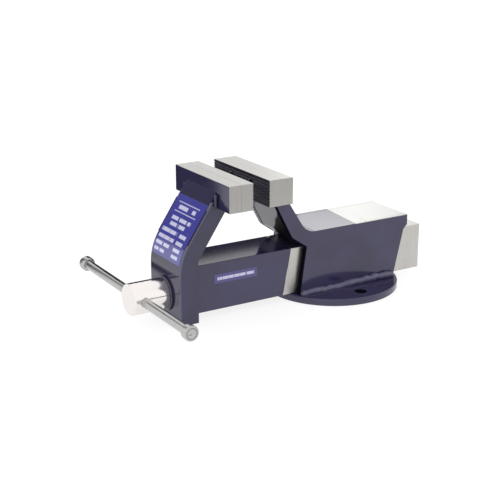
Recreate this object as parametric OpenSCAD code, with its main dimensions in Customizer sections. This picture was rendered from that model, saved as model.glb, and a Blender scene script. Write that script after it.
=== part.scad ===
// Fabricated steel bench vise: a welded box slide runs between two side plates on a round base.
// Frame: +Z up, +Y to the rear, +X to the operator's right. The origin is the centre of the
// base plate's underside, where it stands on the bench. Profiles are drawn as [y, z].

/* [Base] */
// Diameter of the round base plate
base_d = 134; // [126:1:180]
// Thickness of the base plate
base_t = 7; // [5:0.5:12]
// Distance between the two bench bolt holes
bolt_spacing = 102; // [92:1:108]
// Diameter of the bench bolt holes
bolt_hole_d = 12; // [8:0.5:13]
// Leg of the weld bead between a side plate and the base
weld_leg = 4; // [2:0.5:5]

/* [Slide] */
// Width of the box slide
slide_w = 46; // [44:1:60]
// Height of the box slide
slide_h = 46; // [44:1:60]
// Length of the box slide, behind the moving arm's front plate
slide_len = 275; // [240:1:320]
// Thickness of the slide's plates
slide_wall = 6; // [4:0.5:7]
// Width of the slot along the underside, for the nut
slot_w = 24; // [22:1:26]
// Gap between the slide and each side plate
side_gap = 0.4; // [0.3:0.1:1]
// Gap between the slide and the plates above and below it
height_gap = 0.5; // [0.3:0.1:1]

/* [Body] */
// Thickness of the two side plates
side_t = 6; // [4:0.5:8]
// Thickness of the guide plate above the slide
guide_t = 6.5; // [4:0.5:8]
// Thickness of the anvil plate
anvil_t = 8; // [6:0.5:12]
// Thickness of the webs that close the neck
web_t = 4; // [3:0.25:4.75]
// How far the front web sits back from the side plates' edges
web_recess = 0.4; // [0.2:0.1:1]
// Front edge of the side plates at the base, ahead of the centre
foot_front = 56; // [48:1:60]
// Front edge of the side plates at the slide's top, ahead of the centre
throat_front = 49; // [44:1:54]
// Rear edge of the side plates at the base, behind the centre
foot_rear = 57; // [50:1:60]
// Rear end of the anvil, behind the centre
nose_rear = 72.5; // [66:0.5:90]
// Height of the square nose at the anvil's rear end
nose_h = 10.5; // [8:0.5:12]
// How far the plates step in below the nose
nose_step = 4.5; // [2:0.5:8]
// Lean of the neck's front edge from the vertical, in degrees
neck_front_lean = 28; // [24:0.5:30]
// Lean of the neck's rear edge from the vertical, in degrees
neck_rear_lean = 32.5; // [28:0.5:36]
// Depth of the neck where it meets the jaw
neck_top_depth = 14; // [13:0.5:18]
// How far the neck's front edge reaches ahead of the jaw's rear face
neck_grip = 7.5; // [6:0.5:10]
// Height of the neck's lower front corner above the slide
brow_h = 12.5; // [11:0.5:16]
// Radius between the neck's rear edge and the anvil
neck_fillet = 18; // [12:1:22]
// Flat run between the neck's fillet and the anvil plate
web_run = 3.5; // [1:0.5:6]

/* [Jaws] */
// Width of the jaws
jaw_w = 100; // [80:1:140]
// Height of the jaws
jaw_h = 25; // [20:0.5:32]
// Height of the jaws' tops above the bench
jaw_top = 131; // [125:0.5:150]
// Depth of the block behind each jaw plate
jaw_block_d = 13; // [12:0.5:18]
// Thickness of the serrated jaw plates
jaw_plate_t = 12; // [10.5:0.5:14]
// Distance from the fixed jaw's gripping face to the base's centre
jaw_reach = 104.5; // [98:0.5:112]
// Opening between the jaws, as the vise stands
jaw_opening = 17; // [4:0.5:40]
// Distance between the serrations
tooth_pitch = 2.4; // [1.6:0.1:3.2]
// Depth of the serrations
tooth_depth = 0.8; // [0.4:0.1:1.2]
// Distance between the two screws in each jaw
jaw_screw_spacing = 34; // [30:1:56]
// Thread diameter of the jaw screws
jaw_screw_d = 8; // [6:0.5:8.5]
// Head diameter of the jaw screws
jaw_head_d = 13; // [10:0.5:15]
// Head height of the jaw screws
jaw_head_h = 8; // [6:0.5:8]

/* [Moving arm] */
// Thickness of the arm's side plates
arm_side_t = 6; // [4:0.5:6]
// Thickness of the arm's front plate
arm_front_t = 5; // [4:0.5:6]
// Thickness of the arm's rear plate
arm_rear_t = 5; // [4:0.5:6]
// Distance from the arm's front face to the base's centre, as the vise stands
arm_reach = 186; // [180:0.5:200]
// Depth of the arm, front to rear
arm_depth = 19.5; // [17:0.5:26]
// Height of the arm's lower end above the bench
arm_foot = 1; // [1:0.5:5]
// Lean of the arm's upper part from the vertical, in degrees
arm_lean = 34; // [32:0.5:35]
// How much lower the arm bends at the rear than at the front
arm_bend_drop = 3; // [0:0.5:6]
// Radius of the bend at the front
arm_bend_r = 52; // [40:1:56]
// Radius of the bend at the rear
arm_rear_bend_r = 12; // [8:1:16]
// How far the front plate laps up over the jaw block
arm_lap = 6.5; // [4:0.5:10]

/* [Spindle] */
// Height of the spindle's axis above the bench
spindle_z = 25; // [24.5:0.5:28]
// Diameter of the spindle
spindle_d = 20; // [16:0.5:20]
// Length of the spindle behind its washer
spindle_len = 271; // [250:1:280]
// Diameter of the spindle's head
head_d = 30; // [26:0.5:34]
// Length of the spindle's head
head_len = 35; // [32:0.5:40]
// Distance from the head's end to the handle
handle_inset = 10; // [9:0.5:12]
// Thickness of the thrust washer
washer_t = 2; // [1.5:0.25:3]
// Diameter of the thrust washer
washer_d = 33; // [31:0.5:36]
// Outer diameter of the bush behind the front plate
bush_d = 30; // [28:0.5:30]
// Diameter of the bush where it sits in the front plate
bush_spigot_d = 26; // [24:0.5:26.5]
// Length of the bush behind the front plate
bush_len = 12; // [8:0.5:16]
// Outer diameter of the retaining collar
collar_d = 28; // [26:0.5:30]
// Length of the retaining collar
collar_len = 10; // [9:0.5:14]
// Diameter of the pin through the collar
collar_pin_d = 5; // [3:0.5:6]

/* [Nut] */
// Length of the nut block
nut_len = 34; // [24:1:40]
// Width of the nut block inside the slide
nut_w = 28; // [25:0.5:29]
// Height of the nut block above the slide's lower strips
nut_h = 29; // [26:0.5:30]
// Distance from the nut's centre to the base's centre
nut_front = 31; // [26:1:34]
// Distance between the two screws that hold the nut
nut_screw_spacing = 18; // [16:1:18]
// Thread diameter of the nut's screws
nut_screw_d = 8; // [5:0.5:8]

/* [Handle] */
// Diameter of the sliding handle bar
bar_d = 9; // [6:0.5:10]
// Length of the bar between its knobs
bar_len = 202; // [170:1:230]
// How far the bar sits to the left of centre, as the vise stands
bar_shift = 9; // [0:0.5:60]
// Diameter of the knobs
knob_d = 14; // [13:0.5:18]
// Length of the knobs
knob_len = 9; // [8:0.5:12]
// Diameter of the threaded spigots in the knobs
spigot_d = 5; // [4:0.5:5.5]
// Length of the threaded spigots
spigot_len = 6; // [4:0.5:7]

/* [Labels] */
// Thickness of the stuck-on labels
label_t = 0.2; // [0.1:0.05:0.4]
// Width of the arm's label
label_w = 54; // [30:1:54]
// How far the arm's label reaches down below the arm's bend
label_below_bend = 5; // [0:0.5:10]
// Gap between the arm's label and the top of its front plate
label_high_gap = 3; // [1:0.5:10]
// Length of the slide's label
slide_label_len = 46; // [20:1:60]
// Height of the slide's label
slide_label_h = 9; // [6:0.5:14]

/* [Hidden] */
$fn = 96;

// Clearances: a running fit, a fit inside one body, and play along the spindle
run_gap = 0.05;
fit_gap = 0.05;
end_play = 0.1;
// A cut runs this far past the face it opens
past = 1;
// Steps along each rounded corner of a profile
corner_steps = 14;
edge_round = 0.6;

// Widths across the vise
body_in = slide_w / 2 + side_gap;
body_out = body_in + side_t;
arm_out = slide_w / 2 + arm_side_t;

// Heights
slide_low = base_t + height_gap;
slide_high = slide_low + slide_h;
strip_high = slide_low + slide_wall;
guide_low = slide_high + height_gap;
guide_high = guide_low + guide_t;
anvil_z = guide_high + anvil_t;
jaw_low = jaw_top - jaw_h;

// Stations along the vise
fixed_face = -jaw_reach;
fixed_back = fixed_face + jaw_plate_t + jaw_block_d;
moving_face = fixed_face - jaw_opening;
moving_back = moving_face - jaw_plate_t - jaw_block_d;
arm_front = -arm_reach;
slide_front = arm_front + arm_front_t;
slide_rear = slide_front + slide_len;
washer_front = arm_front - end_play - washer_t;
head_front = washer_front - head_len;
bar_y = head_front + handle_inset;
collar_front = slide_front + bush_len + end_play;
label_y = -124;
label_z = 37.5;

// ---- Plane geometry of the profiles

function cross2(a, b) = a.x * b.y - a.y * b.x;
function unit(v) = v / norm(v);
function flat(p) = [p.x, p.y];
function left_normal(v) = [-v.y, v.x];
// Where the line through p along d meets the line through q along e
function meet(p, d, q, e) = p + d * cross2(q - p, e) / cross2(d, e);
// The point at height z on the line through p along d
function at_height(p, d, z) = p + d * (z - p.y) / d.y;
// Direction of a line that leans back by an angle from the vertical
function lean(angle) = [sin(angle), cos(angle)];

// The points of one corner at b, rounded to radius r, between neighbours a and c
function corner(a, b, c, r) =
    let (u = unit(a - b), w = unit(c - b), half = acos(u * w) / 2)
    r == 0 ? [b] :
    let (centre = b + unit(u + w) * r / sin(half),
         start = b + u * r / tan(half) - centre,
         end = b + w * r / tan(half) - centre,
         from = atan2(start.y, start.x),
         raw = atan2(end.y, end.x) - from,
         turn = raw > 180 ? raw - 360 : raw < -180 ? raw + 360 : raw)
    [for (i = [0 : corner_steps])
        centre + r * [cos(from + turn * i / corner_steps), sin(from + turn * i / corner_steps)]];

// An open path from control points [y, z, radius]
function rounded(path) = [for (i = [0 : len(path) - 1]) each
    (i == 0 || i == len(path) - 1) ? [flat(path[i])] :
    corner(flat(path[i - 1]), flat(path[i]), flat(path[i + 1]), path[i].z)];

// The same open path moved sideways to its left by d
function moved(path, d) = [for (i = [0 : len(path) - 1])
    let (here = flat(path[i]),
         before = i == 0 ? unit(flat(path[1]) - here) : unit(here - flat(path[i - 1])),
         after = i == len(path) - 1 ? before : unit(flat(path[i + 1]) - here),
         side = cross2(before, after),
         place = abs(side) < 0.001 ? here + d * left_normal(before) :
             meet(here + d * left_normal(before), before, here + d * left_normal(after), after))
    [place.x, place.y, path[i].z == 0 ? 0 : path[i].z - sign(side) * d]];

function reversed(list) = [for (i = [len(list) - 1 : -1 : 0]) list[i]];
// The closed strip between two lines beside one path
function strip(path, d0, d1) =
    concat(rounded(moved(path, d0)), reversed(rounded(moved(path, d1))));

// ---- The body's side profile

neck_front_foot = [fixed_back - neck_grip, jaw_low];
neck_rear_foot = neck_front_foot + [neck_top_depth, 0];
neck_front_dir = lean(-neck_front_lean);
neck_rear_dir = lean(-neck_rear_lean);
brow = at_height(neck_front_foot, neck_front_dir, slide_high + brow_h);
throat = [-throat_front, slide_high + 2 * height_gap];
neck_rear_low = at_height(neck_rear_foot, neck_rear_dir, anvil_z);
neck_tip = neck_rear_foot + neck_rear_dir * (fixed_back - neck_rear_foot.x) / neck_rear_dir.x;
anvil_front = neck_rear_low.x + neck_fillet * tan((90 - neck_rear_lean) / 2) + web_run;
brow_r = 8;

front_path = [
    concat(at_height(neck_front_foot, neck_front_dir, jaw_top), [0]),
    [brow.x, brow.y, brow_r],
    [throat.x, throat.y, 0]];
rear_path = [
    [neck_tip.x, neck_tip.y, 0],
    [neck_rear_low.x, neck_rear_low.y, neck_fillet],
    [nose_rear, anvil_z, 0]];
body_profile = concat(
    [[-foot_front, base_t], throat],
    rounded([[throat.x, throat.y, 0], [brow.x, brow.y, brow_r],
        [neck_front_foot.x, neck_front_foot.y, 0]]),
    [[fixed_back, jaw_low]],
    rounded(rear_path),
    [[nose_rear, anvil_z - nose_h], [nose_rear - nose_step, anvil_z - nose_h - nose_step],
        [foot_rear, base_t]]);

// ---- The moving arm's side profile

arm_dir = lean(arm_lean);
arm_lap_point = [moving_back, jaw_low + arm_lap];
arm_front_top = arm_lap_point + arm_front_t * left_normal(arm_dir);
arm_bend = arm_front_top - arm_dir * (arm_front_top.x - arm_front) / arm_dir.x;
arm_rear_bend = [arm_front + arm_depth, arm_bend.y - arm_bend_drop];
function arm_edge(bend, r, top) = [[bend.x, arm_foot, 0], [bend.x, bend.y, r],
    concat(at_height(bend, arm_dir, top), [0])];
arm_front_path = arm_edge(arm_bend, arm_bend_r, arm_front_top.y);
arm_rear_path = arm_edge(arm_rear_bend, arm_rear_bend_r, jaw_low);
arm_profile = concat(rounded(arm_edge(arm_bend, arm_bend_r, arm_lap_point.y)),
    [arm_lap_point, [moving_back, jaw_low]], reversed(rounded(arm_rear_path)));

// ---- Building blocks

// A [y, z] profile drawn out along X
module along_x(x, width) {
    translate([x, 0, 0]) rotate([90, 0, 90]) linear_extrude(width) children();
}

// A box from its lowest and highest corners
module block(low, high) {
    translate(low) cube(high - low);
}

// Turns a shape made along +Z so that it runs along +Y
module along_y(y) {
    translate([0, y, spindle_z]) rotate([-90, 0, 0]) children();
}

// A round bar along +X with its ends chamfered
module bar_x(x, length, d, chamfer) {
    translate([x, bar_y, spindle_z]) rotate([0, 90, 0]) rotate_extrude()
        polygon([[0, 0], [d / 2 - chamfer, 0], [d / 2, chamfer], [d / 2, length - chamfer],
            [d / 2 - chamfer, length], [0, length]]);
}

// A turned ring along +Y
module ring_y(y, length, outer_d, inner_d) {
    along_y(y) difference() {
        cylinder(d = outer_d, h = length);
        translate([0, 0, -past]) cylinder(d = inner_d, h = length + 2 * past);
    }
}

// ---- Base

module base_plate() {
    color("midnightblue") difference() {
        rotate_extrude() polygon([[0, 0], [base_d / 2 - edge_round, 0],
            [base_d / 2, edge_round], [base_d / 2, base_t - edge_round],
            [base_d / 2 - edge_round, base_t], [0, base_t]]);
        for (side = [-1, 1]) translate([side * bolt_spacing / 2, 0, -past])
            cylinder(d = bolt_hole_d, h = base_t + 2 * past);
        for (end = [-1, 1]) translate([0, end * nut_screw_spacing / 2 - nut_front, 0])
            nut_screw_shape(fit_gap, past);
    }
}

// Fillet welds between the side plates and the base
module base_welds() {
    weld_end = 2;
    color("slateblue") for (side = [0, 1]) mirror([side, 0, 0])
        translate([body_out, foot_rear - weld_end, base_t]) rotate([90, 0, 0])
            linear_extrude(foot_front + foot_rear - 2 * weld_end)
                polygon([[0, 0], [weld_leg, 0], [0, weld_leg]]);
}

// A countersunk screw from below, grown by a gap where it is a cut
countersink_d = 2 * nut_screw_d - 1;
module nut_screw_shape(gap, below) {
    head_h = (countersink_d - nut_screw_d) / 2;
    translate([0, 0, -below]) cylinder(d = countersink_d + 2 * gap, h = below + 0.3);
    translate([0, 0, 0.3])
        cylinder(d1 = countersink_d + 2 * gap, d2 = nut_screw_d + 2 * gap, h = head_h);
    translate([0, 0, 0.3]) cylinder(d = nut_screw_d + 2 * gap, h = base_t + 5.5 + gap);
}

// ---- Body

module side_plate(x) {
    color("darkslateblue") along_x(x, side_t) polygon(body_profile);
}

module neck_front_web() {
    color("darkslateblue") intersection() {
        along_x(-body_in, 2 * body_in)
            polygon(strip(front_path, web_recess, web_recess + web_t));
        block([-body_in, fixed_face, guide_high], [body_in, nose_rear, jaw_low]);
    }
}

module neck_rear_web() {
    color("darkslateblue") intersection() {
        along_x(-body_in, 2 * body_in) polygon(strip(rear_path, -web_t, 0));
        block([-body_in, fixed_back, guide_high], [body_in, anvil_front, jaw_top]);
    }
}

module slide_guide() {
    color("darkslateblue") intersection() {
        along_x(-body_in, 2 * body_in) polygon(body_profile);
        block([-body_in, fixed_face, guide_low], [body_in, nose_rear, guide_high]);
    }
}

module anvil_plate() {
    color("gainsboro")
        block([-body_in, anvil_front, guide_high], [body_in, nose_rear, anvil_z]);
}

// ---- Nut

nut_low = strip_high + height_gap;
module nut_block() {
    neck_w = slot_w - 2;
    color("goldenrod") difference() {
        union() {
            block([-neck_w / 2, -nut_front - nut_len / 2, base_t],
                [neck_w / 2, -nut_front + nut_len / 2, nut_low + past]);
            block([-nut_w / 2, -nut_front - nut_len / 2, nut_low],
                [nut_w / 2, -nut_front + nut_len / 2, nut_low + nut_h]);
        }
        along_y(-nut_front - nut_len / 2 - past)
            cylinder(d = spindle_d + 2 * run_gap, h = nut_len + 2 * past);
        for (end = [-1, 1]) translate([0, end * nut_screw_spacing / 2 - nut_front, 0])
            nut_screw_shape(fit_gap, 0);
    }
}

module nut_screws() {
    color("dimgray") for (end = [-1, 1])
        translate([0, end * nut_screw_spacing / 2 - nut_front, 0]) difference() {
            nut_screw_shape(0, 0);
            translate([0, 0, -past]) cylinder(d = nut_screw_d / 2, h = past + 2.5, $fn = 6);
        }
}

// ---- Jaws. Each is drawn with its gripping face at y = 0 and its depth along +y.

module jaw_screw_cuts(from, d, depth) {
    for (side = [-1, 1])
        translate([side * jaw_screw_spacing / 2, from, (jaw_low + jaw_top) / 2])
            rotate([-90, 0, 0]) cylinder(d = d, h = depth);
}

tooth_count = floor((jaw_h - 2) / tooth_pitch);
tooth_low = jaw_low + (jaw_h - tooth_count * tooth_pitch) / 2;
tooth_profile = [for (i = [0 : tooth_count - 1]) each let (z = tooth_low + i * tooth_pitch)
    [[0, z + 0.2 * tooth_pitch], [tooth_depth, z + 0.5 * tooth_pitch],
        [0, z + 0.8 * tooth_pitch]]];
head_seat = tooth_depth + jaw_head_h + fit_gap;

module jaw_plate() {
    difference() {
        along_x(-jaw_w / 2, jaw_w) polygon(concat([[0, jaw_low]], tooth_profile,
            [[0, jaw_top], [jaw_plate_t, jaw_top], [jaw_plate_t, jaw_low]]));
        jaw_screw_cuts(-past, jaw_head_d + 1, past + head_seat);
        jaw_screw_cuts(0, jaw_screw_d + 2 * fit_gap, jaw_plate_t + past);
    }
}

screw_depth = jaw_plate_t + 9;
module jaw_block() {
    difference() {
        along_x(-jaw_w / 2, jaw_w) polygon([[jaw_plate_t, jaw_low],
            [jaw_plate_t + jaw_block_d - edge_round, jaw_low],
            [jaw_plate_t + jaw_block_d, jaw_low + edge_round],
            [jaw_plate_t + jaw_block_d, jaw_top - edge_round],
            [jaw_plate_t + jaw_block_d - edge_round, jaw_top], [jaw_plate_t, jaw_top]]);
        jaw_screw_cuts(jaw_plate_t - past, jaw_screw_d + 2 * fit_gap, 9 + past + fit_gap);
    }
}

module jaw_screws() {
    difference() {
        union() {
            jaw_screw_cuts(tooth_depth, jaw_head_d, jaw_head_h);
            jaw_screw_cuts(tooth_depth, jaw_screw_d, screw_depth - tooth_depth);
        }
        for (side = [-1, 1])
            translate([side * jaw_screw_spacing / 2, 0, (jaw_low + jaw_top) / 2])
                rotate([-90, 0, 0])
                    cylinder(d = 0.86 * jaw_screw_d, h = tooth_depth + jaw_head_h / 2, $fn = 6);
    }
}

module fixed_side() {
    translate([0, fixed_face, 0]) children();
}

module moving_side() {
    translate([0, moving_face, 0]) mirror([0, 1, 0]) children();
}

// ---- Slide

// A plate of the slide, whose front end is shaped to the inside of the arm's front plate
module slide_plate(low, high) {
    difference() {
        block(low, high);
        along_x(low.x - past, high.x - low.x + 2 * past) arm_front_band();
    }
}

module slide_web(x) {
    color("darkslateblue")
        slide_plate([x, slide_front, slide_low], [x + slide_wall, slide_rear, slide_high]);
}

module slide_top_plate() {
    color("darkslateblue")
        slide_plate([slide_wall - slide_w / 2, slide_front, slide_high - slide_wall],
            [slide_w / 2 - slide_wall, slide_rear, slide_high]);
}

module slide_bottom_strips() {
    color("darkslateblue") for (side = [0, 1]) mirror([side, 0, 0])
        block([slot_w / 2, slide_front, slide_low],
            [slide_w / 2 - slide_wall, slide_rear, strip_high]);
}

// ---- Moving arm

module arm_front_band() {
    polygon(strip(arm_front_path, -arm_front_t, 0));
}

module arm_front_plate() {
    color("darkslateblue") difference() {
        intersection() {
            along_x(-arm_out, 2 * arm_out) polygon(arm_profile);
            along_x(-arm_out, 2 * arm_out) arm_front_band();
        }
        along_y(arm_front - past)
            cylinder(d = bush_spigot_d + 2 * fit_gap, h = arm_front_t + 2 * past);
    }
}

module arm_side_plate(x) {
    color("midnightblue") difference() {
        along_x(x, arm_side_t) polygon(arm_profile);
        along_x(x - past, arm_side_t + 2 * past) arm_front_band();
        block([x - past, moving_back - jaw_h, jaw_low],
            [x + arm_side_t + past, moving_face, jaw_top]);
    }
}

module arm_rear_plate() {
    color("darkslateblue") intersection() {
        along_x(-slide_w / 2, slide_w) polygon(strip(arm_rear_path, 0, arm_rear_t));
        block([-slide_w / 2, arm_front, slide_high], [slide_w / 2, moving_face, jaw_low]);
    }
}

module spindle_bush() {
    color("goldenrod") along_y(arm_front) difference() {
        union() {
            cylinder(d = bush_spigot_d, h = arm_front_t + past);
            translate([0, 0, arm_front_t]) cylinder(d = bush_d, h = bush_len);
        }
        translate([0, 0, -past]) cylinder(d = spindle_d + 2 * run_gap,
            h = arm_front_t + bush_len + 2 * past);
    }
}

// ---- Labels

module arm_label() {
    color("mediumblue") intersection() {
        along_x(-label_w / 2, label_w) polygon(strip(arm_front_path, 0, label_t));
        block([-label_w / 2, arm_front - past, arm_bend.y - label_below_bend],
            [label_w / 2, moving_face, arm_lap_point.y - label_high_gap]);
    }
}

module slide_label() {
    color("mediumblue") block(
        [slide_w / 2, label_y - slide_label_len / 2, label_z - slide_label_h / 2],
        [slide_w / 2 + label_t, label_y + slide_label_len / 2, label_z + slide_label_h / 2]);
}

// ---- Spindle

head_round = 1.5;
module spindle() {
    total = head_len + washer_t + spindle_len;
    color("gainsboro") difference() {
        along_y(head_front) rotate_extrude() polygon([[0, 0], [head_d / 2 - head_round, 0],
            [head_d / 2 - 0.3 * head_round, 0.3 * head_round], [head_d / 2, head_round],
            [head_d / 2, head_len - 0.8], [head_d / 2 - 0.8, head_len],
            [spindle_d / 2, head_len], [spindle_d / 2, total - 1.5],
            [spindle_d / 2 - 1.5, total], [0, total]]);
        translate([-head_d / 2 - past, bar_y, spindle_z]) rotate([0, 90, 0])
            cylinder(d = bar_d + 2 * run_gap, h = head_d + 2 * past);
        collar_pin_bore(spindle_d + 2 * past);
    }
}

module thrust_washer() {
    color("silver") ring_y(washer_front, washer_t, washer_d, spindle_d + 2 * fit_gap);
}

module collar_pin_bore(length) {
    translate([0, collar_front + collar_len / 2, spindle_z - length / 2])
        cylinder(d = collar_pin_d + 2 * fit_gap, h = length);
}

module retaining_collar() {
    color("silver") difference() {
        ring_y(collar_front, collar_len, collar_d, spindle_d + 2 * fit_gap);
        collar_pin_bore(collar_d + 2 * past);
    }
}

module collar_pin() {
    color("dimgray") translate([0, collar_front + collar_len / 2, spindle_z - collar_d / 2 + 1])
        cylinder(d = collar_pin_d, h = collar_d - 2);
}

// ---- Handle

bar_low = -bar_shift - bar_len / 2;
bar_high = bar_low + bar_len;

module handle_bar() {
    color("gainsboro") union() {
        bar_x(bar_low, bar_len, bar_d, 0.4);
        bar_x(bar_low - spigot_len, bar_len + 2 * spigot_len, spigot_d, 0.4);
    }
}

// A knob on the +X end, with a dished outer face
module knob() {
    translate([0, bar_y, spindle_z]) rotate([0, 90, 0]) rotate_extrude() polygon([
        [spigot_d / 2 + fit_gap, 0], [knob_d / 2 - 1.2, 0], [knob_d / 2, 1.2],
        [knob_d / 2, knob_len - 1.6], [knob_d / 2 - 0.5, knob_len - 0.5],
        [knob_d / 2 - 1.6, knob_len], [spigot_d / 2 + 1.2, knob_len],
        [spigot_d / 2 + 0.4, knob_len - 0.8], [0, knob_len - 0.8],
        [0, spigot_len + fit_gap], [spigot_d / 2 + fit_gap, spigot_len + fit_gap]]);
}

base_plate();
side_plate(-body_out);  // left_side_plate
side_plate(body_in);  // right_side_plate
neck_front_web();
neck_rear_web();
slide_guide();
anvil_plate();
base_welds();
nut_block();
nut_screws();
color("silver") fixed_side() jaw_block();  // fixed_jaw_block
color("silver") fixed_side() jaw_plate();  // fixed_jaw_plate
color("dimgray") fixed_side() jaw_screws();  // fixed_jaw_screws
slide_web(-slide_w / 2);  // left_slide_web
slide_web(slide_w / 2 - slide_wall);  // right_slide_web
slide_top_plate();
slide_bottom_strips();
arm_front_plate();
arm_side_plate(-arm_out);  // arm_left_plate
arm_side_plate(slide_w / 2);  // arm_right_plate
arm_rear_plate();
spindle_bush();
color("silver") moving_side() jaw_block();  // moving_jaw_block
color("silver") moving_side() jaw_plate();  // moving_jaw_plate
color("dimgray") moving_side() jaw_screws();  // moving_jaw_screws
arm_label();
slide_label();
spindle();
thrust_washer();
retaining_collar();
collar_pin();
handle_bar();
color("gainsboro") translate([bar_low, 0, 0]) mirror([1, 0, 0]) knob();  // left_handle_knob
color("gainsboro") translate([bar_high, 0, 0]) knob();  // right_handle_knob
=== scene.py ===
"""Looks of a fabricated steel bench vise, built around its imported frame.

Everything is in metres in the frame's own axes: +Z up, +Y to the rear and +X to the operator's
right, with the origin under the centre of the round base. MM turns a millimetre into metres.
"""

from __future__ import annotations

import logging
import math
from collections.abc import Callable, Sequence
from dataclasses import dataclass
from enum import Enum

import bmesh
import bpy
from mathutils import Matrix, Vector, noise


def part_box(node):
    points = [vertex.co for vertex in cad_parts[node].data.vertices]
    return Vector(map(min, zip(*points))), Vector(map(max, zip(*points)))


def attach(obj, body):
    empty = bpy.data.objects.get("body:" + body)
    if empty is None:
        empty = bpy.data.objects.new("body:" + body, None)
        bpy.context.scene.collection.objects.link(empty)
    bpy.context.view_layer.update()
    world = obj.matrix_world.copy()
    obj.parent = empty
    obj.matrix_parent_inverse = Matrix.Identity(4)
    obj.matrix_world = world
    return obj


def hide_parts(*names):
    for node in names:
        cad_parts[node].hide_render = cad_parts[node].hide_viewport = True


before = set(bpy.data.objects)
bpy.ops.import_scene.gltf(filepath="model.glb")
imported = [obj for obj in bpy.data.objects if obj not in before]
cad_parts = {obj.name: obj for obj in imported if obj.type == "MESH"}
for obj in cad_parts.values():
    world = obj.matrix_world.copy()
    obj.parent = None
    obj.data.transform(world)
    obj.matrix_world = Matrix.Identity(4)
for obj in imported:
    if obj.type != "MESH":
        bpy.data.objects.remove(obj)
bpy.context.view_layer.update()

MM = 0.001
SHARP_ANGLE = math.radians(25)
SMOOTH_ANGLE = math.radians(40)
AXIS_X = Vector((1, 0, 0))
AXIS_Y = Vector((0, 1, 0))
AXIS_Z = Vector((0, 0, 1))

Colour = tuple[float, float, float]
Triple = tuple[float, float, float]
EdgePick = Callable[[bmesh.types.BMEdge], bool]
log = logging.getLogger("bench_vise")


class Body(Enum):
    """The bodies that pieces ride on."""

    BASE = "base"
    SLIDE = "slide"
    SPINDLE = "spindle"
    HANDLE = "handle"


class Slot(Enum):
    """The record's material slots."""

    ENAMEL = "enamel"
    GROUND_STEEL = "ground_steel"
    DARK_STEEL = "dark_steel"
    NUT_IRON = "nut_iron"
    BUSH_BRASS = "bush_brass"
    BRIGHT_CHROME = "bright_chrome"
    LABEL_FILM = "label_film"


class Grain(Enum):
    """How far a finish's fine lines are stretched along each axis."""

    ALONG_X = (6.0, 420.0, 420.0)
    ALONG_Y = (420.0, 6.0, 420.0)
    ALONG_Z = (420.0, 420.0, 6.0)
    EVEN = (160.0, 160.0, 160.0)


# ---- Shader wiring


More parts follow.
